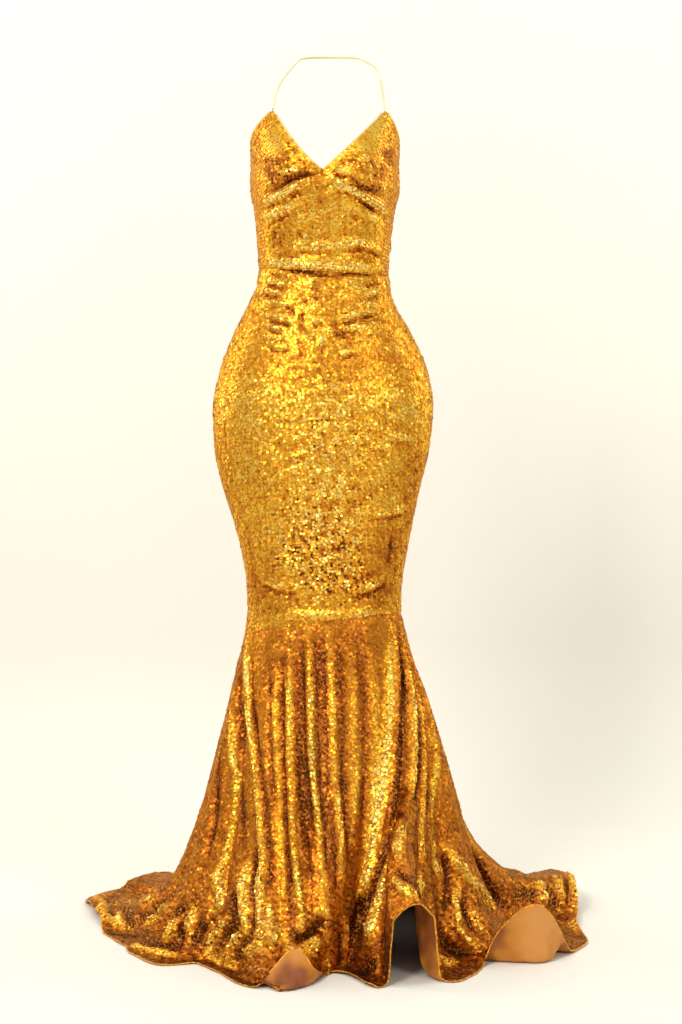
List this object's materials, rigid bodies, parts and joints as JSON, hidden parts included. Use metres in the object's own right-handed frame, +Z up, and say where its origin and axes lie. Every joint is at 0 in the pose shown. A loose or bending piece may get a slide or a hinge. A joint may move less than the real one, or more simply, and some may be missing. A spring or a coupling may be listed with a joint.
{
  "type": "evening gown",
  "caption": "Floor-length halter mermaid gown in gold sequin stretch cloth, V neck, low back, fitted to the knee, with a flared hem and a short train.",
  "frame": {"origin": "where the strap crosses the nape of the wearer's neck, which holds the gown up; the hem meets the floor 1.5 m below", "axes": "+Z up, +X towards the wearer's left, -Y the front of the gown"},
  "size_m": [0.8767, 0.9549, 1.5007],
  "materials": {
    "sequin_cloth": "small overlapping gold sequins on stretch net, amber on the inside",
    "binding_cloth": "narrow pale gold satin binding",
    "strap_cloth": "narrow pale gold satin cord"
  },
  "bodies": {
    "root": {"cup_left": "sequin_cloth", "cup_right": "sequin_cloth", "bodice_front": "sequin_cloth", "bodice_back": "sequin_cloth", "skirt_front": "sequin_cloth", "skirt_back_left": "sequin_cloth", "skirt_back_right": "sequin_cloth", "flare_front": "sequin_cloth", "flare_side_left": "sequin_cloth", "flare_back_left": "sequin_cloth", "flare_back_right": "sequin_cloth", "flare_side_right": "sequin_cloth", "neckline_binding": "binding_cloth", "back_binding": "binding_cloth", "halter_strap": "strap_cloth"}
  },
  "joints": []
}
